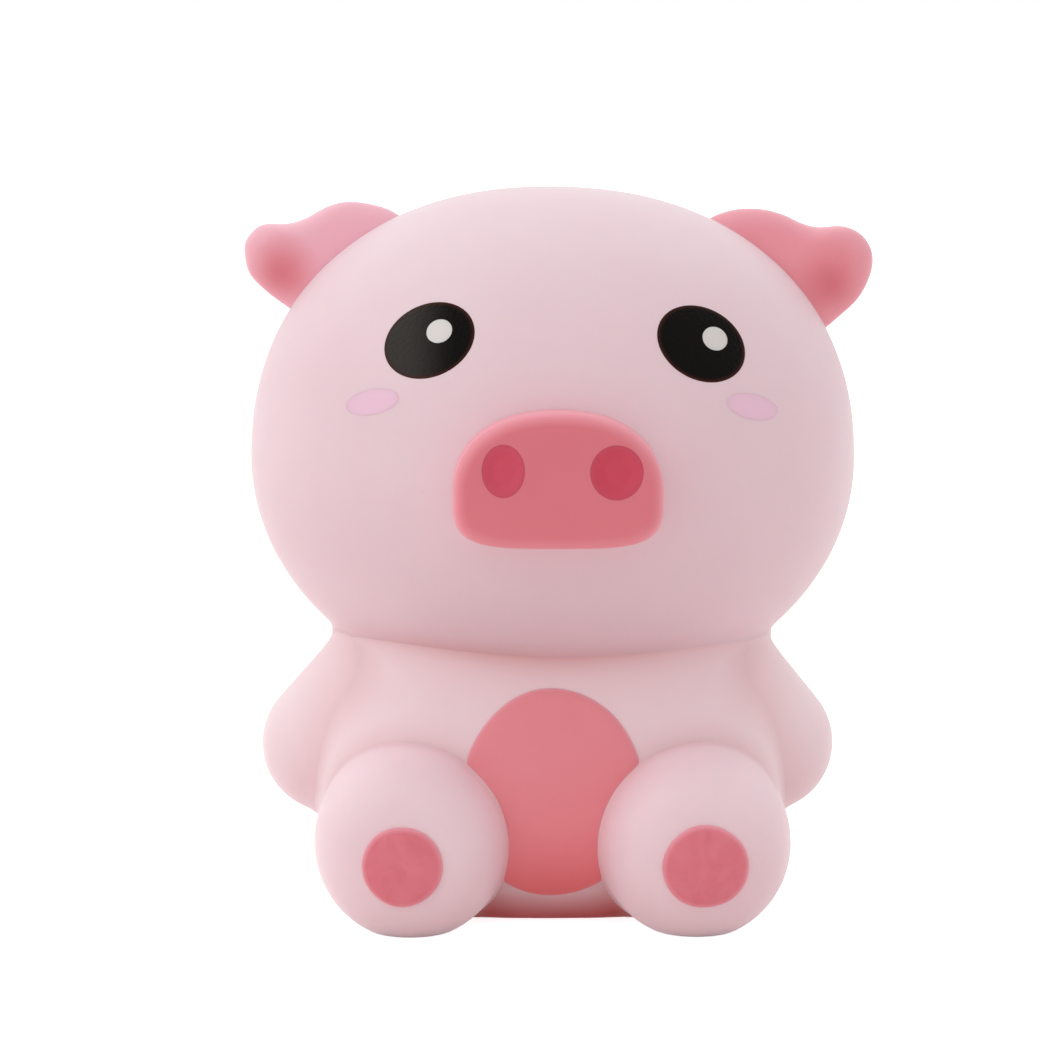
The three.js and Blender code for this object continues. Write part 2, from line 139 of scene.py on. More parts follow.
headShape = {
    "widestZ": 56,
    "jawDrop": 31,  # from the widest line to where the jaw would close
    "crownPower": 2.2,  # 2 is an ellipse, more is boxier
    "jawPower": 2,
    "planPower": 2.1,
    "jawTuck": 0.15,  # share of its depth that the head has lost where the jaw would close
    "lean": 0.8,  # degrees towards +X, about the middle of the neck
    "neckZ": 35,
}
torsoShape = {
    "widestZ": 13,
    "rise": 42.2,
    "drop": 18.9,
    "power": 2.26,
    "planPower": 2.58,
    "backwards": 1,
    "castZ": 15,  # from where the rays of its skin start
}
armShape = {
    "shoulderZ": 29,
    "shoulderInset": 8.4,  # inside the torso's side
    "shoulderForward": 6.2,  # in front of the torso's middle
    "shoulderRadius": 9,
    "handZ": 18.9,
    "handInset": {1: 1.9, -1: 1.5},
    "handBack": 2.5,
    "handRadius": 8.9,
}
legShape = {
    "x": 17,
    "hipY": -14,
    "radius": 12.1,
    "footFlat": 1.5,  # depth by which the round sole is flattened on the table
    "thigh": 10,
    "sole": 17.6,
    "solePower": 3.2,
    "splay": 3,  # degrees
    "castAhead": 6,  # from the hip to where the rays of its skin start
}
# mm over which creases are filled, and over which a skin starts to sink below its neighbour
fillets = {"neck": 2, "shoulder": 2, "arm": 2.1, "leg": 1.4, "sink": 1}

headLow, headHigh = nodeBox("head_skin")[:2]
torsoLow, torsoHigh = nodeBox("torso_skin")[:2]
headHalf = (headHigh - headLow) / 2
torsoHalf = (torsoHigh - torsoLow) / 2


# Points turned towards +X about the middle of the neck
def leanBy(points, degrees):
    angle = math.radians(degrees)
    x, y, z = points[..., 0], points[..., 1], points[..., 2] - headShape["neckZ"]
    return np.stack([
        x * math.cos(angle) + z * math.sin(angle),
        y,
        headShape["neckZ"] + z * math.cos(angle) - x * math.sin(angle),
    ], -1)


# Oval in plan, superelliptic in height, with its own height and power above and below its widest line.
# Below that line its depth loses the tuck times the square of the way down.
def swelling(points, centre, halfWidth, halfDepth, rise, drop, risePower, dropPower, planPower, tuck=0):
    offset = points - np.array(centre)
    above = offset[..., 2] > 0
    tall = np.abs(offset[..., 2]) / np.where(above, rise, drop)
    lost = np.where(above, 0, tuck * np.minimum(tall, 1) ** 2)
    across = np.abs(offset[..., 0]) / halfWidth
    deep = np.abs(offset[..., 1]) / (halfDepth * (1 - lost))
    plan = (across ** planPower + deep ** planPower) ** (1 / planPower)
    power = np.where(above, risePower, dropPower)
    return radial(offset, (plan ** power + tall ** power) ** (1 / power))


def headField(points):
    shape = headShape
    crownRise = headHigh[2] - shape["widestZ"]
    return swelling(
        leanBy(points, -shape["lean"]), (0, 0, shape["widestZ"]), headHalf[0], headHalf[1],
        crownRise, shape["jawDrop"], shape["crownPower"], shape["jawPower"], shape["planPower"],
        shape["jawTuck"],
    )


def torsoForm(points):
    shape = torsoShape
    return swelling(
        points, (0, shape["backwards"], shape["widestZ"]), torsoHalf[0], torsoHalf[1],
        shape["rise"], shape["drop"], shape["power"], 2, shape["planPower"],
    )


base = {"dish": 0.8, "dishRadius": 12, "dishPower": 4, "edge": 0.3, "footEdge": 0.15}


# Positive under the base, which is dished a little in its middle.
def floorField(points):
    out = np.hypot(points[..., 0], points[..., 1] - torsoShape["backwards"]) / base["dishRadius"]
    dish = base["dish"] * np.clip(1 - out ** base["dishPower"], 0, 1)
    return dish - points[..., 2]


def torsoField(points):
    return smoothCut(torsoForm(points), floorField(points), base["edge"])


def torsoWidth(z):
    up = (z - torsoShape["widestZ"]) / torsoShape["rise"]
    return torsoHalf[0] * (1 - up ** torsoShape["power"]) ** (1 / torsoShape["power"])


# Two balls joined by a straight taper.
def roundCone(points, start, end, startRadius, endRadius):
    along = end - start
    square = along @ along
    narrowing = startRadius - endRadius
    slant = square - narrowing ** 2
    offset = points - start
    run = offset @ along
    past = run - square
    side = ((offset * square - run[..., None] * along) ** 2).sum(-1)
    limit = np.sign(narrowing) * narrowing ** 2 * side
    atEnd = np.sqrt(side + past * past * square) / square - endRadius
    atStart = np.sqrt(side + run * run * square) / square - startRadius
    between = (np.sqrt(side * slant / square) + run * narrowing) / square - startRadius
    pastEnd = np.sign(past) * slant * past * past * square > limit
    beforeStart = np.sign(run) * slant * run * run * square < limit
    return np.where(pastEnd, atEnd, np.where(beforeStart, atStart, between))


# Middles of the shoulder and of the hand
def armEnds(side):
    shape, back = armShape, torsoShape["backwards"]
    shoulderX = torsoWidth(shape["shoulderZ"]) - shape["shoulderInset"]
    handX = torsoWidth(shape["handZ"]) - shape["handInset"][side]
    return (np.array([side * shoulderX, back - shape["shoulderForward"], shape["shoulderZ"]]),
            np.array([side * handX, back + shape["handBack"], shape["handZ"]]))


def armField(points, side):
    return roundCone(points, *armEnds(side), armShape["shoulderRadius"], armShape["handRadius"])


def legMiddle(side):
    shape = legShape
    return np.array([side * shape["x"], shape["hipY"], shape["radius"] - shape["footFlat"]])


# Round about its own axis: an ellipse behind the hip and a blunter dome at the sole.
def legForm(points, side):
    shape = legShape
    angle = math.radians(shape["splay"]) * side
    offset = points - legMiddle(side)
    x = offset[..., 0] * math.cos(angle) + offset[..., 1] * math.sin(angle)
    forward = offset[..., 0] * math.sin(angle) - offset[..., 1] * math.cos(angle)
    out = np.hypot(x, offset[..., 2]) / shape["radius"]
    ahead = forward > 0
    reach = np.abs(forward) / np.where(ahead, shape["sole"], shape["thigh"])
    power = np.where(ahead, shape["solePower"], 2)
    return radial(offset, (out ** power + reach ** power) ** (1 / power))


def legField(points, side):
    return smoothCut(legForm(points, side), -points[..., 2], base["footEdge"])


neighbours = {
    "head": ("torso", "leftArm", "rightArm"),
    "torso": ("head", "leftArm", "rightArm", "leftLeg", "rightLeg"),
    "leftArm": ("torso", "head", "leftLeg"),
    "rightArm": ("torso", "head", "rightLeg"),
    "leftLeg": ("torso", "leftArm", "rightLeg"),
    "rightLeg": ("torso", "rightArm", "leftLeg"),
}
pieceFields = {
    "head": headField,
    "torso": torsoField,
    "leftArm": lambda points: armField(points, 1),
    "rightArm": lambda points: armField(points, -1),
    "leftLeg": lambda points: legField(points, 1),
    "rightLeg": lambda points: legField(points, -1),
}


def filletBetween(a, b):
    if "Leg" in a + b:
        return fillets["leg"]
    if "Arm" in a + b:
        return fillets["shoulder" if "head" in (a, b) else "arm"]
    return fillets["neck"]


# The field of one piece of the moulding: its creases with its neighbours are filled, and past each crease
# it sinks below its neighbour's surface, slowly at first, so that the two share one skin there. Nothing
# goes below the table.
def mouldedField(piece, points):
    own = pieceFields[piece](points)
    joined, nearest = own, np.full_like(own, np.inf)
    for other in neighbours[piece]:
        theirs = pieceFields[other](points)
        joined = smoothJoin(joined, theirs, filletBetween(piece, other))
        nearest = np.minimum(nearest, theirs)
    past = np.maximum(own - nearest, 0)
    sink = fillets["sink"]
    skin = joined + np.where(past < sink, past * past / (2 * sink), past - sink / 2)
    return np.maximum(skin, -points[..., 2])


# Meshes

# Positions from 0 to 1 that lie closer together about each (place, width, gain).
def crowded(count, places):
    fine = np.linspace(0, 1, sampling["crowdSteps"])
    density = np.ones_like(fine)
    for place, width, gain in places:
        density += gain * np.exp(-((fine - place) / width) ** 2)
    total = np.concatenate([[0], np.cumsum((density[1:] + density[:-1]) / 2)])
    return np.interp(np.linspace(0, 1, count), total / total[-1], fine)


# A grid of unit directions from the lower pole to the upper one, without the poles.
def directions(columns, rows, places):
    latitude = (crowded(rows + 2, places)[1:-1] - 0.5) * math.pi
    longitude = np.arange(columns) * 2 * math.pi / columns
    return np.stack([
        np.cos(latitude)[:, None] * np.cos(longitude),
        np.cos(latitude)[:, None] * np.sin(longitude),
        np.repeat(np.sin(latitude)[:, None], columns, 1),
    ], -1)


# Where rays from a centre leave a field, found by halving. Returns the lower pole, the grid, the upper
# pole.
def cast(field, centre, stretch, columns, rows, places=()):
    rays = directions(columns, rows, places).reshape(-1, 3)
    rays = np.concatenate([[[0, 0, -1]], rays, [[0, 0, 1]]]) * np.array(stretch, float)
    near, far = np.zeros(len(rays)), np.full(len(rays), sampling["longestRay"])
    for _ in range(sampling["rayHalvings"]):
        middle = (near + far) / 2
        outside = field(np.array(centre) + rays * middle[:, None]) > 0
        far = np.where(outside, middle, far)
        near = np.where(outside, near, middle)
    return np.array(centre) + rays * ((near + far) / 2)[:, None]


# Faces of a closed skin: first point, rings of points, last point, facing out for rings that climb.
def gridFaces(columns, rows):
    row, column = np.meshgrid(np.arange(rows - 1), np.arange(columns), indexing="ij")
    here = 1 + row * columns + column
    beside = 1 + row * columns + (column + 1) % columns
    quads = np.stack([here, beside, beside + columns, here + columns], -1).reshape(-1, 4)
    ring = np.arange(columns)
    after = (ring + 1) % columns
    last = 1 + rows * columns
    start = np.stack([np.zeros(columns, int), 1 + after, 1 + ring], -1)
    end = np.stack([np.full(columns, last), last - columns + ring, last - columns + after], -1)
    return quads, start, end


# Six times the volume inside a closed skin: the sum of the triple products of its triangles' corners
def enclosed(points, triangles):
    a, b, c = (points[triangles[:, corner]] for corner in range(3))
    return (np.cross(a, b) * c).sum()


# Puts a closed skin of rings into a mesh, in metres, with smooth shading and point attributes. Its faces
# are turned round if they enclose a negative volume.
def makeMesh(name, points, columns, rows, attributes=()):
    quads, start, end = gridFaces(columns, rows)
    if enclosed(points, np.concatenate([quads[:, :3], quads[:, [0, 2, 3]], start, end])) < 0:
        quads, start, end = quads[:, ::-1], start[:, ::-1], end[:, ::-1]
    corners = np.concatenate([quads.ravel(), start.ravel(), end.ravel()]).astype(np.int32)
    sizes = np.concatenate([np.full(len(quads), 4), np.full(len(start) + len(end), 3)])
    starts = np.concatenate([[0], np.cumsum(sizes)[:-1]]).astype(np.int32)
    mesh = bpy.data.meshes.new(name)
    mesh.vertices.add(len(points))
    mesh.vertices.foreach_set("co", (points * mm).astype(np.float32).ravel())
    mesh.loops.add(len(corners))
    mesh.loops.foreach_set("vertex_index", corners)
    mesh.polygons.add(len(sizes))
    mesh.polygons.foreach_set("loop_start", starts)
    mesh.update(calc_edges=True)
    mesh.validate()
    mesh.shade_smooth()
    for label, values in dict(attributes).items():
        mesh.attributes.new(label, "FLOAT", "POINT").data.foreach_set("value", values.astype(np.float32))
    piece = bpy.data.objects.new(name, mesh)
    bpy.context.scene.collection.objects.link(piece)
    return piece


# 1 in a crease, falling to 0 away from it over a reach in mm
def closeness(distance, reach):
    return np.exp(-np.maximum(distance, 0) / reach)


# Painted shade in the creases: the skin is tinted darker where the head overhangs the body and where the
# limbs meet it, for the shade that falls there
creases = {
    # strength, X where it is strongest, and spread to both sides
    "shade": {"head": (0.33, -9, 26), "torso": (0.46, 2, 20), "leftArm": (0.1, 0, 40),
              "rightArm": (0.1, 0, 40)},
    "line": (0.6, -6, 34),
    "shadeReach": 2.6,
    "lineReach": 0.85,
    "limb": 0.4,
    "limbReach": 1.2,
}


# A strength that fades to both sides of the X where it is strongest
def fading(points, strength, place, spread):
    return strength * np.exp(-((points[:, 0] - place) / spread) ** 2)


# How deep each point lies in painted shade: in the neck crease a soft shade with a shadow line in it, or
# in a limb's crease
def creaseShadeDepth(piece, points):
    depths = []
    for other in neighbours[piece]:
        distance = pieceFields[other](points)
        if "head" in (piece, other):
            line = fading(points, *creases["line"]) * closeness(distance, creases["lineReach"])
            shade = fading(points, *creases["shade"][piece]) * closeness(distance, creases["shadeReach"])
            depths.append(shade + line)
        else:
            depths.append(creases["limb"] * closeness(distance, creases["limbReach"]))
    return np.max(depths, 0)


# Unit outward direction of a field, from differences.
def slope(field, points):
    moves = np.eye(3) * sampling["step"]
    gradient = np.stack([field(points + move) - field(points - move) for move in moves], -1)
    return gradient / np.linalg.norm(gradient, axis=-1, keepdims=True)


# Points of a field's front surface at places (x, z), found by halving along Y.
def onFront(field, x, z, fromY, toY):
    near, far = np.full(x.shape, float(fromY)), np.full(x.shape, float(toY))
    for _ in range(sampling["frontHalvings"]):
        middle = (near + far) / 2
        inside = field(np.stack([x, middle, z], -1)) < 0
        far = np.where(inside, middle, far)
        near = np.where(inside, near, middle)
    return np.stack([x, (near + far) / 2, z], -1)


patchLook = {
    "underPower": 4,
    "lowReach": 6,
    "paintedSheenMiddle": 0.5,
    "paintedSheenSlope": 0.8,  # rise of the painted sheen from the middle to the edge
}


# A thin skin on a surface seen from the front: rings shrink from the middle of its top to its rim and
# back under it. outline(angle) is its radius, and surface(x, z) gives points and outward directions.
# Its attributes are 1 at the rim, 1 at the lowest point, and rise towards the toy's right. The last two
# carry painted shade on the belly and a painted sheen on the toy's right eye.
def makePatch(name, surface, outline, middle, tilt=0, raised=0.1, lifted=0, sunk=0.4,
              columns=96, rows=24, sharpness=6):
    across = np.concatenate([np.linspace(0, 1, rows + 1)[1:], np.linspace(1, 0, rows + 1)[1:-1]])
    share = np.sin(across * math.pi / 2)
    top = np.concatenate([np.ones(rows, bool), np.zeros(rows - 1, bool)])
    angle = np.arange(columns) * 2 * math.pi / columns
    reach = share[:, None] * outline(angle)
    turned = math.radians(tilt)
    flatX, flatZ = reach * np.cos(angle), reach * np.sin(angle)
    x = middle[0] + flatX * math.cos(turned) - flatZ * math.sin(turned)
    z = middle[1] + flatX * math.sin(turned) + flatZ * math.cos(turned)
    x = np.concatenate([[middle[0]], x.ravel(), [middle[0]]])
    z = np.concatenate([[middle[1]], z.ravel(), [middle[1]]])
    onTop = np.concatenate([[True], np.repeat(top, columns), [False]])
    ratio = np.concatenate([[0], np.repeat(share, columns), [0]])
    points, outward = surface(x, z)
    profile = np.sqrt(np.clip(1 - ratio ** sharpness, 0, 1))
    under = (sunk + lifted) * (1 - ratio ** patchLook["underPower"])
    height = lifted + np.where(onTop, raised * profile, -under)
    points = points + outward * height[:, None]
    # a painted sheen, rising towards the toy's right
    half = middle[0] - x.min()
    aside = (middle[0] - x) / half * patchLook["paintedSheenSlope"] + patchLook["paintedSheenMiddle"]
    aside = np.clip(aside, 0, 1)
    return makeMesh(name, points, columns, 2 * rows - 1, {
        "rim": ratio,
        "low": closeness(z - z.min(), patchLook["lowReach"]),
        "sheen": aside * aside * (3 - 2 * aside),
    })


# The front of a field as makePatch needs it
def fieldSurface(field, fromY, toY):
    def surface(x, z):
        points = onFront(field, x, z, fromY, toY)
        return points, slope(field, points)
    return surface


# Polar radius of an ellipse
def oval(halfLength, halfHeight):
    def outline(angle):
        return ((np.cos(angle) / halfLength) ** 2 + (np.sin(angle) / halfHeight) ** 2) ** -0.5
    return outline


# Materials

# Linear colour, from the 0 to 255 values that a picture shows
def srgb(red, green, blue):
    values = [value / 255 for value in (red, green, blue)]
    return tuple(v / 12.92 if v <= 0.04045 else ((v + 0.055) / 1.055) ** 2.4 for v in values) + (1,)


def newMaterial(name):
    material = bpy.data.materials.new(name)
    material.use_nodes = True
    nodes, links = material.node_tree.nodes, material.node_tree.links
    return material, nodes, links, nodes["Principled BSDF"]


# A node, with its sockets set by name and its own settings by attribute.
def addNode(nodes, kind, **values):
    node = nodes.new(kind)
    for key, value in values.items():
        if key in node.inputs:
            node.inputs[key].default_value = value
        else:
            setattr(node, key, value)
    return node


def mixColour(nodes, links, factor, a, b):
    mix = addNode(nodes, "ShaderNodeMix", data_type="RGBA")
    for socket, value in ((mix.inputs[0], factor), (mix.inputs[6], a), (mix.inputs[7], b)):
        if isinstance(value, bpy.types.NodeSocket):
            links.new(value, socket)
        else:
            socket.default_value = value
    return mix.outputs[2]


# Maps a value from low..high to toLow..toHigh, held at the ends.
def ramp(nodes, links, value, low, high, toLow=0.0, toHigh=1.0):
    node = addNode(nodes, "ShaderNodeMapRange", clamp=True)
    for socket, number in zip(node.inputs[1:5], (low, high, toLow, toHigh)):
        socket.default_value = number
    links.new(value, node.inputs[0])
    return node.outputs[0]


rubberLook = {
    "mottleScale": 55,  # per metre
    "mottleDetail": 3.0,
    "mottleRoughness": 0.55,
    "mottleSwirl": 0.0,
    "mottleRange": (0.35, 0.7),  # of the noise, as are the ranges below
    "roughRange": (0.3, 0.7),
    "roughSpan": 0.05,
    "grainScale": 2600,
    "grainDetail": 2.0,
    "grainHeight": 0.00008,
    "dimpleScale": 420,
    "dimpleDetail": 3.0,
    "dimpleStrength": 0.16,
    "dimpleHeight": 0.0003,
    "speckScale": 210,
    "speckEdge": (0.035, 0.06),
    "seldomScale": 35,  # of the noise that keeps most specks away
    "seldomEdge": (0.62, 0.66),
    "speckTint": 0.35,
    "subsurface": 0.2,
    "subsurfaceScale": 0.0015,
    "subsurfaceRadius": (1.0, 0.5, 0.45),
    "specular": 0.45,
    "sheenRoughness": 0.45,
}


# Matte soft rubber: a slow drift between two close colours, tints where a point attribute rises above a
# level, rare tiny specks, a fine grain and faint dimples, and light that enters the skin.
# tints are (attribute, colour, level where it starts, most that it covers).
def softRubber(name, colour, deep, tints=(), roughness=0.5, mottle=0.35, specks=True, grain=0.12,
               sheen=0.0, changes=()):
    look = rubberLook | dict(changes)
    material, nodes, links, shader = newMaterial(name)
    place = addNode(nodes, "ShaderNodeTexCoord").outputs["Object"]
    drift = addNode(nodes, "ShaderNodeTexNoise", Scale=look["mottleScale"], Detail=look["mottleDetail"],
                    Roughness=look["mottleRoughness"], Distortion=look["mottleSwirl"])
    fine = addNode(nodes, "ShaderNodeTexNoise", Scale=look["grainScale"], Detail=look["grainDetail"])
    dimple = addNode(nodes, "ShaderNodeTexNoise", Scale=look["dimpleScale"], Detail=look["dimpleDetail"])
    for node in (drift, fine, dimple):
        links.new(place, node.inputs["Vector"])
    amount = ramp(nodes, links, drift.outputs[0], *look["mottleRange"], 0.0, mottle)
    tint = mixColour(nodes, links, amount, colours[colour], colours[deep])
    for label, other, start, most in tints:
        where = addNode(nodes, "ShaderNodeAttribute", attribute_name=label).outputs["Fac"]
        share = ramp(nodes, links, where, start, 1.0, 0.0, most)
        tint = mixColour(nodes, links, share, tint, colours[other])
    if specks:
        cells = addNode(nodes, "ShaderNodeTexVoronoi", Scale=look["speckScale"])
        rare = addNode(nodes, "ShaderNodeTexNoise", Scale=look["seldomScale"], Detail=1.0)
        links.new(place, cells.inputs["Vector"])
        links.new(place, rare.inputs["Vector"])
        dot = ramp(nodes, links, cells.outputs["Distance"], *look["speckEdge"], 1.0, 0.0)
        seldom = ramp(nodes, links, rare.outputs[0], *look["seldomEdge"])
        both = addNode(nodes, "ShaderNodeMath", operation="MULTIPLY")
        links.new(dot, both.inputs[0])
        links.new(seldom, both.inputs[1])
        faint = ramp(nodes, links, both.outputs[0], 0.0, 1.0, 0.0, look["speckTint"])
        tint = mixColour(nodes, links, faint, tint, colours[deep])
    links.new(tint, shader.inputs["Base Color"])
    rough = ramp(nodes, links, drift.outputs[0], *look["roughRange"],
                 roughness - look["roughSpan"], roughness + look["roughSpan"])
    links.new(rough, shader.inputs["Roughness"])
    grainBump = addNode(nodes, "ShaderNodeBump", Strength=grain, Distance=look["grainHeight"])
    dimpleBump = addNode(nodes, "ShaderNodeBump", Strength=look["dimpleStrength"],
                         Distance=look["dimpleHeight"])
    links.new(fine.outputs[0], grainBump.inputs["Height"])
    links.new(dimple.outputs[0], dimpleBump.inputs["Height"])
    links.new(grainBump.outputs[0], dimpleBump.inputs["Normal"])
    links.new(dimpleBump.outputs[0], shader.inputs["Normal"])
    shader.inputs["Subsurface Weight"].default_value = look["subsurface"]
    shader.inputs["Subsurface Radius"].default_value = look["subsurfaceRadius"]
    shader.inputs["Subsurface Scale"].default_value = look["subsurfaceScale"]
    shader.inputs["Specular IOR Level"].default_value = look["specular"]
    shader.inputs["Sheen Weight"].default_value = sheen
    shader.inputs["Sheen Roughness"].default_value = look["sheenRoughness"]
    return material


colours = {
    "skin": srgb(243, 220, 227),
    "skinDeep": srgb(238, 209, 216),
    # painted shade down the front of the chin
    "skinChinShade": srgb(232, 211, 218),
    # painted shade in the creases
    "skinCreaseShade": srgb(204, 112, 108),
    # the torso, arms and legs are a lighter pink than the head: painted light that lifts them out of the
    # shade below the head
    "torso": srgb(252, 230, 235),
    "torsoDeep": srgb(247, 220, 225),
    "leg": srgb(254, 230, 236),
    # painted shade near the table, deep red between the legs
    "baseShade": srgb(214, 30, 20),
    "rose": srgb(231, 128, 140),
    "roseDeep": srgb(221, 111, 124),
    # painted highlight along the edges of the snout, belly and pads
    "roseRimHighlight": srgb(250, 172, 184),
    "pad": srgb(236, 131, 144),
    "padDeep": srgb(225, 113, 127),
    "belly": srgb(246, 151, 161),
    "bellyDeep": srgb(239, 139, 149),
    # painted shade towards the belly's lower edge
    "bellyLowShade": srgb(250, 100, 98),
    # the toy's right ear is a lighter pink than its left: painted light on the lit side
    "leftEar": srgb(249, 164, 176),
    "leftEarDeep": srgb(240, 150, 161),
    "rightEar": srgb(255, 194, 208),
    "rightEarDeep": srgb(252, 182, 196),
    # painted shade in the ear's dish and over its lobe, then a painted highlight along its edge
    "earHollowShade": srgb(224, 112, 122),
    "earRimHighlight": srgb(255, 202, 214),
    "tail": srgb(246, 176, 188),
    # the toy's left nostril is a deeper rose: painted shade on the shaded side
    "leftNostril": srgb(217, 72, 96),
    "rightNostril": srgb(222, 83, 107),
    "nostrilDeep": srgb(210, 70, 92),
    "nostrilRim": srgb(212, 78, 98),
    "eye": srgb(13, 10, 9),
    "eyeDeep": srgb(22, 19, 18),
    # painted sheen on the toy's right eye
    "eyePaintedSheen": srgb(62, 60, 57),
    "eyeRim": srgb(74, 40, 32),
    "glint": srgb(232, 228, 224),
    "glintDeep": srgb(216, 212, 208),
    "blush": srgb(255, 211, 231),
    "blushDeep": srgb(251, 203, 224),
    "plug": srgb(230, 190, 196),
    "filling": srgb(246, 238, 232),
    "fillingDeep": srgb(226, 212, 204),
}

# Painted shade: the skins are darkened in their creases
creaseShadeTint = ("crease", "skinCreaseShade", 0.0, 0.85)
# Painted shade on the head's skin, darker down the front of the chin
skinMaterial = softRubber("soft_pink_skin", "skin", "skinDeep",
                          (("chin", "skinChinShade", 0.0, 1.0), creaseShadeTint), sheen=0.2)
# Painted shade on the torso's skin, deep red near the table between the legs
torsoMaterial = softRubber("soft_pink_torso", "torso", "torsoDeep",
                           (creaseShadeTint, ("floor", "baseShade", 0.0, 0.95)), sheen=0.2)
armMaterial = softRubber("soft_pink_arm", "torso", "torsoDeep", (creaseShadeTint,), sheen=0.12)
legMaterial = softRubber("soft_pink_leg", "leg", "skinDeep", (creaseShadeTint,), sheen=0.12)
lobeTint = {"left": 0.24, "right": 0.48}  # painted shade over each lobe, darker on the toy's right
paint = {"specks": False, "roughness": 0.46}
# Painted highlight: the rims of the snout, the belly patch and the pads are lighter, for light catching
# their edges
snoutMaterial = softRubber("snout_paint", "rose", "roseDeep", (("rim", "roseRimHighlight", 0.1, 0.9),), **paint)
# Painted shade: the belly deepens to a red towards its lower edge
bellyMaterial = softRubber("belly_paint", "belly", "bellyDeep",
                           (("low", "bellyLowShade", 0.0, 0.75), ("rim", "roseRimHighlight", 0.97, 0.8)), **paint)
padMaterial = softRubber("pad_paint", "pad", "padDeep", (("rim", "roseRimHighlight", 0.86, 0.8),), mottle=0.55,
                         changes={"mottleScale": 260, "mottleSwirl": 1.6}, **paint)
# Painted shade in each ear's dish and over its lobe, and a painted highlight towards its edge in front
earMaterials = {
    word: softRubber(f"{word}_ear_rose", f"{word}Ear", f"{word}EarDeep",
                     (("lobe", "earHollowShade", 0.35, lobeTint[word]), ("hollow", "earHollowShade", 0.05, 0.8),
                      ("ridge_highlight", "earRimHighlight", 0.6, 0.25)),
                     roughness=0.4, sheen=0.3)
    for word in ("left", "right")
}
tailMaterial = softRubber("tail_rose", "tail", "leftEarDeep", sheen=0.1)
# Painted shade: the toy's left nostril is a deeper rose than its right
nostrilMaterials = {
    word: softRubber(f"{word}_nostril_paint", f"{word}Nostril", "nostrilDeep",
                     (("rim", "nostrilRim", 0.85, 0.6),), specks=False, roughness=0.6)
    for word in ("left", "right")
}
eyeLook = {"subsurface": 0, "specular": 0.05, "grainHeight": 0.0003}
# The toy's right eye has a painted sheen, a lighter grey towards its outer side, for the key lamp's
# reflection
eyeMaterials = {
    "left": softRubber("left_eye_black", "eye", "eyeDeep", (("rim", "eyeRim", 0.9, 0.8),), specks=False,
                       roughness=0.42, grain=0.5, changes=eyeLook),
    "right": softRubber("right_eye_black", "eye", "eyeDeep",
                        (("sheen", "eyePaintedSheen", 0.0, 0.95), ("rim", "eyeRim", 0.9, 0.8)), specks=False,
                        roughness=0.42, grain=0.9, changes=eyeLook),
}
glintMaterial = softRubber("glint_white", "glint", "glintDeep", specks=False, roughness=0.35)
blushMaterial = softRubber("blush_lilac", "blush", "blushDeep", specks=False, roughness=0.45)
plugMaterial = softRubber("plug_rubber", "plug", "skinDeep", specks=False)
fillingMaterial = softRubber("soft_filling", "filling", "fillingDeep", roughness=0.8)
print("materials made:", len(bpy.data.materials))


def finishPiece(piece, material, slot, *nodes):
    piece.data.materials.append(material)
    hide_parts(*nodes)


# Moulded skin

# stretch is the size of the ball of rays that a skin is cast with, and its rows crowd about its places
skinGrids = {
    "head": {"columns": 300, "rows": 260, "stretch": (headHalf[0], headHalf[1], 32),
             "places": ((0.22, 0.08, 1.5),)},
    "torso": {"columns": 320, "rows": 260, "stretch": (torsoHalf[0], torsoHalf[1], 24),
              "places": ((0.7, 0.07, 1.0),)},
    "arm": {"columns": 170, "rows": 160, "stretch": (10, 10, 13)},
    "leg": {"columns": 220, "rows": 190, "stretch": (12, 13, 11.5)},
}
# Painted shade near the table: the torso is tinted towards a deep red at its base, most between and
# beside the legs
floorShade = {
    "height": 4.5,
    "aside": 0.25,  # share that is left at the sides and behind
    "frontDepth": 10,  # from the middle of the toy to where the tint is full
    "frontHalf": 16,
    "frontPower": 4,
    "corner": 0.6,  # more of it beside the legs, up to its own height
    "cornerReach": 2,
    "cornerHeight": 7.2,
}
chinShade = {"top": 60, "fade": 25, "halfWidth": 26, "depth": 15}


# How deep each point lies in the painted shade near the table: full between the legs, and less at the
# sides and behind
def floorShadeDepth(points):
    tint = floorShade
    front = (np.clip(-points[:, 1] / tint["frontDepth"], 0, 1)
             * np.exp(-(points[:, 0] / tint["frontHalf"]) ** tint["frontPower"]))
    share = tint["aside"] + (1 - tint["aside"]) * front
    low, cornerLow = (np.clip(1 - points[:, 2] / tint[key], 0, 1) for key in ("height", "cornerHeight"))
    nearLeg = np.max([closeness(legForm(points, side), tint["cornerReach"]) for side in (1, -1)], 0)
    return np.clip(low * share + tint["corner"] * nearLeg * front * cornerLow, 0, 1)


# Painted shade: 1 at the front of the chin, fading up the face and towards the sides
def chinShadeDepth(points):
    shade = chinShade
    down = np.clip((shade["top"] - points[:, 2]) / shade["fade"], 0, 1)
    front = np.clip(-points[:, 1] / shade["depth"], 0, 1)
    return down * front * np.exp(-(points[:, 0] / shade["halfWidth"]) ** 2)


# A skin cast from a centre. Its attributes say how deep each point lies in painted shade: in a crease,
# near the floor and down the chin.
def makeSkin(name, piece, centre, grid):
    points = cast(
        lambda places: mouldedField(piece, places), centre, grid["stretch"],
        grid["columns"], grid["rows"], grid.get("places", ()),
    )
    print("skin made:", name)
    return makeMesh(name, points, grid["columns"], grid["rows"], {
        "crease": creaseShadeDepth(piece, points),
        "floor": floorShadeDepth(points),
        "chin": chinShadeDepth(points),
    })


headCentre = (0, 0, headShape["widestZ"])
head = makeSkin("head", "head", headCentre, skinGrids["head"])
finishPiece(head, skinMaterial, "skin_pink", "head_skin")
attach(head, "head")

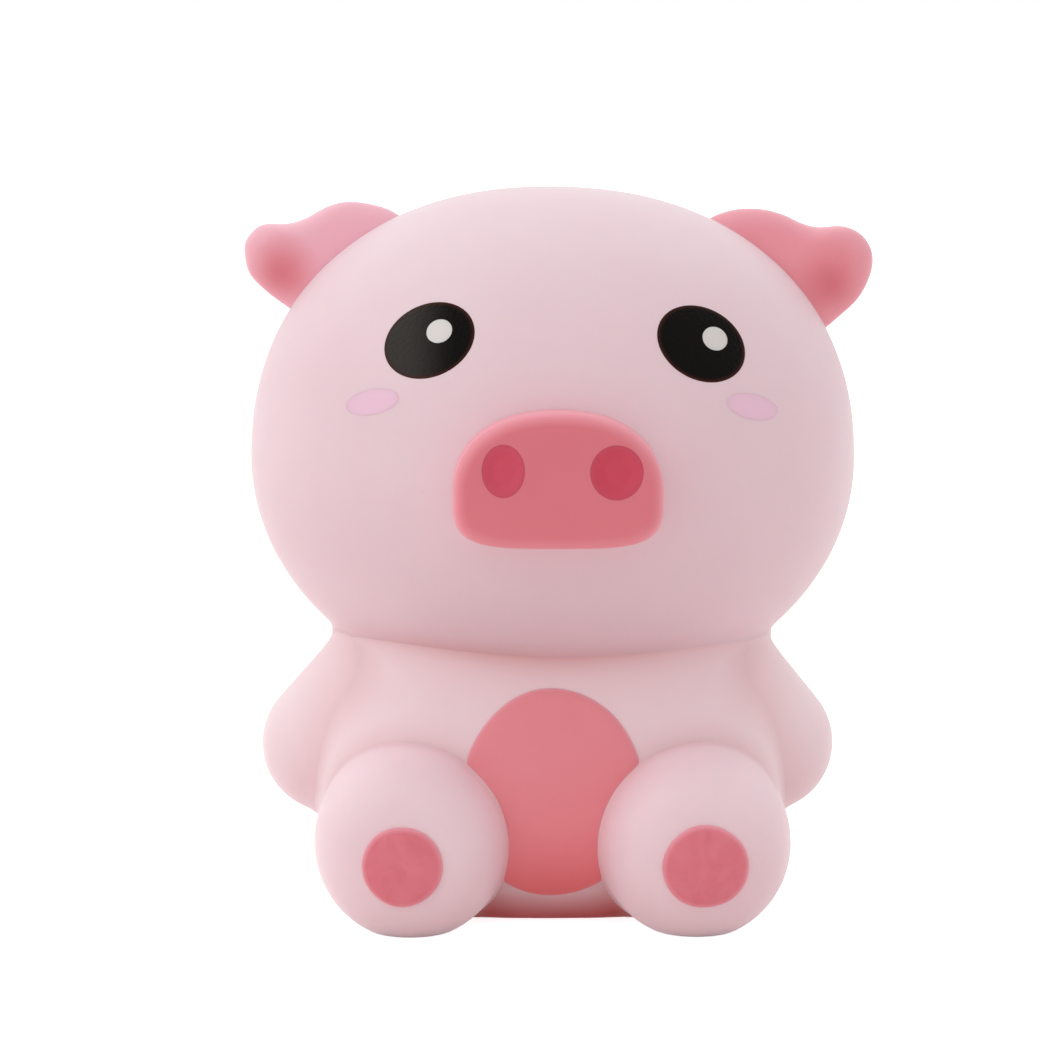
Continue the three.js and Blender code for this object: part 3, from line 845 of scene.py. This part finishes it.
torsoCentre = (0, torsoShape["backwards"], torsoShape["castZ"])
torso = makeSkin("torso", "torso", torsoCentre, skinGrids["torso"])
finishPiece(torso, torsoMaterial, "skin_pink", "torso_skin")

pressed = [torso]
sides = {"left": 1, "right": -1}

for word, side in sides.items():
    shoulder, hand = armEnds(side)
    arm = makeSkin(f"{word}_arm_skin", f"{word}Arm", (shoulder + hand) / 2, skinGrids["arm"])
    finishPiece(arm, armMaterial, "skin_pink", f"{word}_arm")
    pressed.append(arm)

    hip = legMiddle(side)
    legCentre = hip - [0, legShape["castAhead"], 0]
    leg = makeSkin(f"{word}_leg_skin", f"{word}Leg", legCentre, skinGrids["leg"])
    finishPiece(leg, legMaterial, "skin_pink", f"{word}_leg")
    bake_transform(leg)


# Ears: worked out in a frame of their own, along the root, out of the head and towards the face

earShape = {
    "topRise": 30.2,  # ends of the root above the head's widest line
    "bottomRise": 17.6,
    "back": 1.5,
    "reach": {"left": 11.4, "right": 10.7},
    "middle": (0.6, 0.3),  # shares of the root's length and of the reach, as in lobe and dish
    "flapHalf": 2.4,
    "lobe": (0.84, 0.52),
    "lobeHalf": 3.1,
    "lobeSpread": (3.6, 3.6),
    "lobeForward": 0.8,
    "dish": (0.91, 0.33),
    "dishSpread": (2.8, 2.4),
    "dishDepth": 1.7,
    "edgePower": 4,  # how flat the flap stays towards its round edge
    "backRidgeHighlight": 0.4,  # painted highlight on the back, where 1 is that of the edge in front
    "blendAlong": 10,
    "blendOut": (0.2, 4.5),
    "curveSteps": 40,
    "columns": 280,
    "rows": 60,
}
earOutlines = {  # from the upper end of the root round the lobe to the lower end
    "left": (
        (-0.03, -0.25), (0, 0.03), (0.08, 0.26), (0.2, 0.45), (0.33, 0.57), (0.46, 0.64), (0.56, 0.73),
        (0.66, 0.9), (0.75, 0.98), (0.85, 0.99), (0.95, 0.92), (1.03, 0.75), (1.08, 0.47), (1.07, 0.16),
        (1.04, -0.25),
    ),
    "right": (
        (0, -0.25), (0.02, 0.03), (0.08, 0.25), (0.2, 0.5), (0.33, 0.63), (0.5, 0.7), (0.61, 0.79),
        (0.72, 0.95), (0.8, 0.99), (0.9, 0.95), (0.97, 0.82), (1.02, 0.62), (1.01, 0.33), (0.97, 0),
        (0.96, -0.25),
    ),
}


def headWidth(rise):
    power = headShape["crownPower"]
    crownRise = headHigh[2] - headShape["widestZ"]
    return headHalf[0] * (1 - (rise / crownRise) ** power) ** (1 / power)


def earAxes():
    shape = earShape
    top, bottom = (
        np.array([headWidth(shape[key]), shape["back"], headShape["widestZ"] + shape[key]])
        for key in ("topRise", "bottomRise")
    )
    length = np.linalg.norm(bottom - top)
    along = (bottom - top) / length
    front = np.array([0, -1, 0])
    return top, length, np.stack([along, np.cross(front, along), front])


earTop, earLength, earBasis = earAxes()


# From the ear's own frame to the leaning head
def earPlace(local, side):
    return leanBy((earTop + local @ earBasis) * np.array([side, 1, 1]), headShape["lean"])


# A smooth curve through points: between two of them a cubic whose slopes join their neighbours.
def throughPoints(points, steps):
    held = np.concatenate([points[:1], points, points[-1:]])
    before, start, end, after = held[:-3], held[1:-2], held[2:-1], held[3:]
    t = (np.arange(steps) / steps)[:, None, None]
    slopeStart, slopeEnd = (end - before) / 2, (after - start) / 2
    curve = ((2 * start - 2 * end + slopeStart + slopeEnd) * t ** 3
             + (3 * end - 3 * start - 2 * slopeStart - slopeEnd) * t ** 2 + slopeStart * t + start)
    return np.concatenate([curve.transpose(1, 0, 2).reshape(-1, 2), points[-1:]])


# Places spaced evenly along a closed line
def evenly(line, count):
    closed = np.concatenate([line, line[:1]])
    length = np.concatenate([[0], np.cumsum(np.linalg.norm(np.diff(closed, axis=0), axis=1))])
    stops = np.arange(count) / count * length[-1]
    return np.stack([np.interp(stops, length, closed[:, axis]) for axis in (0, 1)], -1)


# A hill of height 1 about a place, as wide as its two spreads
def hill(u, v, place, spread):
    return np.exp(-((u - place[0]) / spread[0]) ** 2 / 2 - ((v - place[1]) / spread[1]) ** 2 / 2)


# The outline shrinks in rings to a middle point, in front and behind. Half the thickness falls to nothing
# at the edge as (1 - share ** edgePower) ** 0.5. The lobe is thicker and stands forward, and its front is
# dished.
def makeEar(word, side):
    shape = earShape
    size = np.array([earLength, shape["reach"][word]])
    curve = throughPoints(np.array(earOutlines[word]) * size, shape["curveSteps"])
    outline = evenly(curve, shape["columns"])
    middle, lobe, dish = (np.array(shape[key]) * size for key in ("middle", "lobe", "dish"))
    rows = shape["rows"]
    turn = np.linspace(0, math.pi, 2 * rows + 1)[1:-1]
    share = np.sin(turn)
    flat = middle + (outline - middle) * share[:, None, None]
    flat = np.concatenate([[middle], flat.reshape(-1, 2), [middle]])
    share = np.concatenate([[0], np.repeat(share, shape["columns"]), [0]])
    facing = np.concatenate([[1], np.repeat(np.where(turn < math.pi / 2, 1, -1), shape["columns"]), [-1]])
    u, v = flat[:, 0], flat[:, 1]
    nearLobe = hill(u, v, lobe, shape["lobeSpread"])
    half = shape["flapHalf"] + (shape["lobeHalf"] - shape["flapHalf"]) * nearLobe
    profile = np.sqrt(1 - share ** shape["edgePower"])
    hollow = hill(u, v, dish, shape["dishSpread"]) * (facing > 0) * profile
    w = facing * half * profile + shape["lobeForward"] * nearLobe - shape["dishDepth"] * hollow
    points = earPlace(np.stack([u, v, w], -1), side)
    # Its attributes carry painted shade over the lobe and in the dish, and a painted highlight towards
    # the edge
    return makeMesh(f"{word}_ear_skin", points, shape["columns"], 2 * rows - 1, {
        "lobe": nearLobe,
        "hollow": hollow,
        "ridge_highlight": np.where(facing > 0, share, shape["backRidgeHighlight"]),
    })


for word, side in sides.items():
    ear = makeEar(word, side)
    finishPiece(ear, earMaterials[word], "ear_pink", f"{word}_ear")
    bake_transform(ear)
print("ears made")


# Snout

snoutShape = {
    "topPower": 2.25,
    "bottomPower": 3.8,
    "rimRadius": 1.75,
    "widestDrop": 1,  # below the head's widest line
    "crown": 0.3,
    "crownWidth": 150,  # square mm over which the face falls back by the crown, across and up
    "crownHeight": 90,
    "crownMost": 1.5,
    "rootFlare": 0.5,
    "columns": 360,
    "faceRows": 110,
    "rimRows": 16,
    "root": -14,  # Y of its hidden end
}
nostrilShape = {
    "left": (3.15, 3.25),  # half width and half height
    "right": (2.55, 3.15),
    "shift": {"left": 0, "right": 0.25},  # towards the toy's left
    "depth": 0.6,
    "wall": 0.6,  # share of the radius over which the wall slopes
    "paint": {"raised": 0.03, "sunk": 0.3, "rows": 40},
}
snoutLow, snoutHigh, snoutMiddle = nodeBox("snout")
snoutZ = headShape["widestZ"] - snoutShape["widestDrop"]
nostrilMiddles = {word: nodeBox(f"{word}_nostril")[2] + [nostrilShape["shift"][word], 0, 0]
                  for word in sides}


# Superellipse, blunter below than above.
def snoutOutline(angle, inset):
    shape = snoutShape
    above = np.sin(angle) > 0
    power = np.where(above, shape["topPower"], shape["bottomPower"])
    tall = np.where(above, snoutHigh[2] - snoutZ, snoutZ - snoutLow[2]) - inset
    wide = (snoutHigh[0] - snoutLow[0]) / 2 - inset
    x = wide * np.sign(np.cos(angle)) * np.abs(np.cos(angle)) ** (2 / power)
    z = tall * np.sign(np.sin(angle)) * np.abs(np.sin(angle)) ** (2 / power)
    return x, z


# Y of the snout's face: slightly crowned, with a flat-bottomed hollow at each nostril. Its wall follows
# half a cosine.
def snoutFace(x, z):
    shape = snoutShape
    bulge = (x - snoutMiddle[0]) ** 2 / shape["crownWidth"] + (z - snoutZ) ** 2 / shape["crownHeight"]
    y = snoutLow[1] + shape["crown"] * np.clip(bulge, 0, shape["crownMost"])
    for word, middle in nostrilMiddles.items():
        halfWidth, halfHeight = nostrilShape[word]
        out = np.hypot((x - middle[0]) / halfWidth, (z - middle[2]) / halfHeight)
        up = np.clip((out - 1) / nostrilShape["wall"] + 1, 0, 1)
        y = y + nostrilShape["depth"] * (1 + np.cos(math.pi * up)) / 2
    return y


# Rings grow over the face, turn back round the rim and run on into the head, where they flare a little.
def makeSnout():
    shape = snoutShape
    angle = np.arange(shape["columns"]) * 2 * math.pi / shape["columns"]
    rim, root = shape["rimRadius"], shape["root"]
    growing = np.linspace(0, 1, shape["faceRows"] + 1)[1:, None]
    x, z = snoutOutline(angle, rim)
    x, z = snoutMiddle[0] + x * growing, snoutZ + z * growing
    face = np.stack([x, snoutFace(x, z), z], -1)
    turn = np.linspace(0, math.pi / 2, shape["rimRows"] + 1)[1:, None]
    x, z = snoutOutline(angle, rim * (1 - np.sin(turn)))
    edge = np.stack([snoutMiddle[0] + x, face[-1, :, 1] + rim * (1 - np.cos(turn)), snoutZ + z], -1)
    back = np.linspace(0.25, 1, 4)[:, None]
    x, z = snoutOutline(angle, -shape["rootFlare"] * back ** 2)
    y = (snoutLow[1] + rim) * (1 - back) + root * back + 0 * x
    rear = np.stack([snoutMiddle[0] + x, y, snoutZ + z], -1)
    first = np.array([[snoutMiddle[0], snoutFace(snoutMiddle[0], snoutZ), snoutZ]])
    last = np.array([[snoutMiddle[0], root, snoutZ]])
    points = np.concatenate([first, face.reshape(-1, 3), edge.reshape(-1, 3), rear.reshape(-1, 3), last])
    rows = len(face) + len(edge) + len(rear)
    ratio = np.clip((np.arange(rows) - len(face) + 1) / len(edge), 0, 1)
    ratio = np.concatenate([[0], np.repeat(ratio, shape["columns"]), [1]])
    return makeMesh("snout_pad", points, shape["columns"], rows, {"rim": ratio})


snout = makeSnout()
finishPiece(snout, snoutMaterial, "rose_pink", "snout")
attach(snout, "head")
print("snout made")


# The snout's face as makePatch needs it
def snoutSurface(x, z):
    step = sampling["step"]
    y = snoutFace(x, z)
    dx = (snoutFace(x + step, z) - snoutFace(x - step, z)) / (2 * step)
    dz = (snoutFace(x, z + step) - snoutFace(x, z - step)) / (2 * step)
    outward = np.stack([dx, -np.ones_like(x), dz], -1)
    return np.stack([x, y, z], -1), outward / np.linalg.norm(outward, axis=-1, keepdims=True)


# Marks on the face

marks = {
    "eye": {"length": 5.7, "height": 4.12, "tilt": 27, "raised": 0.12, "lifted": 0, "slot": "eye_black"},
    "glint": {"length": 1.62, "height": 1.32, "tilt": 28, "raised": 0.06, "lifted": 0.1,
              "slot": "glint_white"},
    "blush": {"length": 3.3, "height": 1.5, "tilt": 15, "raised": 0, "lifted": 0.015,
              "slot": "blush_lilac"},
}
markShift = {  # from the middle of the solid, towards +X and up
    ("left", "glint"): (0.2, -0.55),
    ("right", "glint"): (-0.2, 0),
    ("left", "blush"): (-0.2, 0),
    ("right", "blush"): (-0.25, 0),
}
markMaterials = {"glint": glintMaterial, "blush": blushMaterial}
faceSurface = fieldSurface(headField, fromY=-60, toY=0)

for word, side in sides.items():
    for kind, mark in marks.items():
        middle = nodeBox(f"{word}_{kind}")[2][[0, 2]] + markShift.get((word, kind), (0, 0))
        patch = makePatch(
            f"{word}_{kind}_paint", faceSurface, oval(mark["length"], mark["height"]), middle,
            -side * mark["tilt"] - headShape["lean"], mark["raised"], mark["lifted"],
        )
        material = eyeMaterials[word] if kind == "eye" else markMaterials[kind]
        finishPiece(patch, material, mark["slot"], f"{word}_{kind}")
        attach(patch, "head")
    nostril = makePatch(
        f"{word}_nostril_paint", snoutSurface, oval(*nostrilShape[word]),
        nostrilMiddles[word][[0, 2]], **nostrilShape["paint"],
    )
    finishPiece(nostril, nostrilMaterials[word], "deep_rose", f"{word}_nostril")
    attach(nostril, "head")
print("face marks made")


# Belly patch and foot pads

bellyLook = {
    "halfWidth": 11.2,
    "halfHeight": 13,
    "raised": 0.5,
    "centreRise": 3.7,
    "wobble": 0.006,
    "columns": 320,
    "rows": 100,
    "sharpness": 24,
}
bellyPlace = (0, torsoShape["widestZ"] + bellyLook["centreRise"])


# An ellipse that strays a little
def bellyOutline(angle):
    stray = bellyLook["wobble"] * (np.cos(3 * angle + 1) + 0.5 * np.cos(7 * angle))
    return oval(bellyLook["halfWidth"], bellyLook["halfHeight"])(angle) * (1 + stray)


belly = makePatch(
    "belly_paint", fieldSurface(torsoForm, fromY=-40, toY=1), bellyOutline, bellyPlace,
    raised=bellyLook["raised"], columns=bellyLook["columns"], rows=bellyLook["rows"],
    sharpness=bellyLook["sharpness"],
)
finishPiece(belly, bellyMaterial, "rose_pink", "belly_patch")
pressed.append(belly)

padLook = {
    "left": (5.22, 5.05),  # half width and half height
    "right": (4.85, 4.88),
    # from the middle of the solid, towards +X and up
    "shift": {"left": (0.32, -0.3), "right": (-0.45, -0.25)},
    "raised": 0.6,
    "wobble": 0.008,
    "columns": 140,
    "rows": 40,
    "sharpness": 18,
}


# An oval on the sole that strays a little, as hand-filled paint does.
def makePad(word, side):
    def outline(angle):
        stray = np.cos(3 * angle + side) + 0.6 * np.cos(5 * angle - 2 * side)
        return oval(*padLook[word])(angle) * (1 + padLook["wobble"] * stray)

    def form(points):
        return legForm(points, side)

    middle = nodeBox(f"{word}_foot_pad")[2][[0, 2]] + padLook["shift"][word]
    return makePatch(
        f"{word}_pad_paint", fieldSurface(form, fromY=-60, toY=legShape["hipY"]), outline, middle,
        raised=padLook["raised"], columns=padLook["columns"], rows=padLook["rows"],
        sharpness=padLook["sharpness"],
    )


for word, side in sides.items():
    pad = makePad(word, side)
    finishPiece(pad, padMaterial, "rose_pink", f"{word}_foot_pad")
    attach(pad, f"{word}_leg")
print("belly patch and foot pads made")


# Tail: a tapered tube along a curl

tailShape = {
    "z": 11,
    "curl": 3,
    "turns": 1.1,
    "reach": 6,
    "thick": 1.7,
    "thin": 1.0,
    "flare": 1.2,  # added at the root, fading over a share of the length
    "flareFade": 0.05,
    "tipFade": 0.05,  # share of the length that is rounded off
    "tipLoss": 0.999,  # of the square of the radius, at the very tip
    "sides": 48,
    "steps": 110,
}


def tailPath(t):
    shape = tailShape
    turn = 2 * math.pi * shape["turns"] * t
    back = torsoShape["backwards"] + torsoHalf[1] - shape["thick"]
    return np.stack([
        shape["curl"] * np.sin(turn),
        back + shape["reach"] * t,
        shape["z"] + shape["curl"] * (1 - np.cos(turn)),
    ], -1)


# Rings square to the curl, with a wider root and a round tip.
def makeTail():
    shape = tailShape
    t = np.linspace(0, 1, shape["steps"])
    path = tailPath(t)
    along = np.gradient(path, axis=0)
    along /= np.linalg.norm(along, axis=1, keepdims=True)
    sideways = np.cross(np.array([0, 1, 0]), along)
    sideways /= np.linalg.norm(sideways, axis=1, keepdims=True)
    other = np.cross(along, sideways)
    radius = (shape["thick"] + (shape["thin"] - shape["thick"]) * t
              + shape["flare"] * np.exp(-t / shape["flareFade"]))
    tip = np.clip((1 - t) / shape["tipFade"], 0, 1)
    radius = radius * np.sqrt(1 - (1 - tip) ** 2 * shape["tipLoss"])
    angle = np.arange(shape["sides"]) * 2 * math.pi / shape["sides"]
    rings = (path[:, None]
             + radius[:, None, None] * (np.cos(angle)[:, None] * sideways[:, None]
                                        + np.sin(angle)[:, None] * other[:, None]))
    points = np.concatenate([path[:1], rings.reshape(-1, 3), path[-1:]])
    return makeMesh("tail_curl", points, shape["sides"], shape["steps"])


tail = makeTail()
finishPiece(tail, tailMaterial, "ear_pink", "tail")
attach(tail, "torso")


# Filling, inside the skins

filling = {
    "wall": 3.6,
    "underHead": 0.4,
    "bottomRound": 2,
    "topRound": 1,
    "headRays": (32, 27, 28),
    "torsoRays": (24, 18, 14),
    "columns": 96,
    "rows": 64,
}


def headFillingField(points):
    return headField(points) + filling["wall"]


# Inside the torso's skin, and cut off above by the underside of the head.
def torsoFillingField(points):
    wall = filling["wall"]
    inside = smoothCut(torsoForm(points) + wall, wall - points[..., 2], filling["bottomRound"])
    return smoothCut(inside, filling["underHead"] - headField(points), filling["topRound"])


def makeFilling(name, field, centre, rays, node):
    columns, rows = filling["columns"], filling["rows"]
    piece = makeMesh(name, cast(field, centre, rays, columns, rows), columns, rows)
    finishPiece(piece, fillingMaterial, "soft_fill", node)
    return piece


headFilling = makeFilling("head_fill", headFillingField, headCentre, filling["headRays"], "head_filling")
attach(headFilling, "head")
pressed.append(makeFilling("torso_fill", torsoFillingField, torsoCentre, filling["torsoRays"],
                           "torso_filling"))

for piece in pressed:
    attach(piece, "torso")
    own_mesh(piece)

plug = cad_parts["filler_plug"]
plug.data.materials.clear()
plug.data.materials.append(plugMaterial)
print("tail, filling and plug made")


# Floor, light and background

studio = {
    "floorColour": (0.84, 0.84, 0.84, 1),
    "floorCloud": (0.88, 0.88, 0.88, 1),
    "floorGlow": (0.82, 0.71, 0.7, 1),  # what the floor throws back onto the toy
    "floorSize": 60,
    "floorRoughness": 0.9,
    "cloudScale": 4.0,
    "floorLift": 0.84,  # brightness added to the floor as the camera sees it
    "ambient": 0.77,
    "ambientSlope": (-0.12, 0.33, 0.3),  # the tent is brighter towards this direction
    "dimColour": (1, 0.93, 0.94, 1),  # and warmer where it is dim
    "dimRange": (-0.3, 0.3),
    "keyPower": 0.88,
    "keyPlace": (-0.7, -0.42, 0.62),
    "keySize": 0.5,
    "keyAim": (0, 0, 0.045),
}


# 1 for camera, glossy and transmission rays, 0 for the rays that light the toy.
def seenDirectly(nodes, links):
    path = addNode(nodes, "ShaderNodeLightPath")
    first = addNode(nodes, "ShaderNodeMath", operation="MAXIMUM")
    second = addNode(nodes, "ShaderNodeMath", operation="MAXIMUM")
    links.new(path.outputs["Is Camera Ray"], first.inputs[0])
    links.new(path.outputs["Is Glossy Ray"], first.inputs[1])
    links.new(first.outputs[0], second.inputs[0])
    links.new(path.outputs["Is Transmission Ray"], second.inputs[1])
    return second.outputs[0]


def makeFloor():
    side = studio["floorSize"] / 2
    mesh = bpy.data.meshes.new("floor")
    corners = [(-side, -side, 0), (side, -side, 0), (side, side, 0), (-side, side, 0)]
    mesh.from_pydata(corners, [], [(0, 1, 2, 3)])
    floor = bpy.data.objects.new("floor", mesh)
    bpy.context.scene.collection.objects.link(floor)
    material, nodes, links, shader = newMaterial("pale_floor")
    place = addNode(nodes, "ShaderNodeTexCoord").outputs["Object"]
    cloud = addNode(nodes, "ShaderNodeTexNoise", Scale=studio["cloudScale"], Detail=2.0)
    links.new(place, cloud.inputs["Vector"])
    shade = mixColour(nodes, links, cloud.outputs[0], studio["floorColour"], studio["floorCloud"])
    direct = seenDirectly(nodes, links)
    links.new(mixColour(nodes, links, direct, studio["floorGlow"], shade), shader.inputs["Base Color"])
    shader.inputs["Roughness"].default_value = studio["floorRoughness"]
    shader.inputs["Specular IOR Level"].default_value = 0
    glow = addNode(nodes, "ShaderNodeEmission", Color=(1, 1, 1, 1))
    lift = addNode(nodes, "ShaderNodeMath", operation="MULTIPLY")
    lift.inputs[1].default_value = studio["floorLift"]
    links.new(direct, lift.inputs[0])
    links.new(lift.outputs[0], glow.inputs["Strength"])
    both = addNode(nodes, "ShaderNodeAddShader")
    links.new(shader.outputs[0], both.inputs[0])
    links.new(glow.outputs[0], both.inputs[1])
    links.new(both.outputs[0], nodes["Material Output"].inputs["Surface"])
    mesh.materials.append(material)


# A white tent: even light that grows a little towards one side, and plain white where it is seen.
def makeWorld():
    world = bpy.data.worlds.new("studio")
    bpy.context.scene.world = world
    world.use_nodes = True
    nodes, links = world.node_tree.nodes, world.node_tree.links
    background = nodes["Background"]
    direction = addNode(nodes, "ShaderNodeTexCoord").outputs["Generated"]
    leaning = addNode(nodes, "ShaderNodeVectorMath", operation="DOT_PRODUCT")
    leaning.inputs[1].default_value = studio["ambientSlope"]
    links.new(direction, leaning.inputs[0])
    light = addNode(nodes, "ShaderNodeMath", operation="ADD")
    light.inputs[1].default_value = studio["ambient"]
    links.new(leaning.outputs["Value"], light.inputs[0])
    direct = seenDirectly(nodes, links)
    bright = ramp(nodes, links, leaning.outputs["Value"], *studio["dimRange"])
    tent = mixColour(nodes, links, bright, studio["dimColour"], (1, 1, 1, 1))
    links.new(mixColour(nodes, links, direct, tent, (1, 1, 1, 1)), background.inputs["Color"])
    level = addNode(nodes, "ShaderNodeMix", data_type="FLOAT")
    level.inputs[3].default_value = 1
    links.new(direct, level.inputs[0])
    links.new(light.outputs[0], level.inputs[2])
    links.new(level.outputs[0], background.inputs["Strength"])


# A soft round lamp that looks at the toy's middle
def makeKey():
    data = bpy.data.lights.new("key", "AREA")
    data.shape = "DISK"
    data.size = studio["keySize"]
    data.energy = studio["keyPower"]
    lamp = bpy.data.objects.new("key", data)
    bpy.context.scene.collection.objects.link(lamp)
    place = Vector(studio["keyPlace"])
    lamp.location = place
    lamp.rotation_euler = (Vector(studio["keyAim"]) - place).to_track_quat("-Z", "Y").to_euler()


makeFloor()
makeWorld()
makeKey()
bpy.context.scene.view_settings.view_transform = "Standard"
print("studio made")
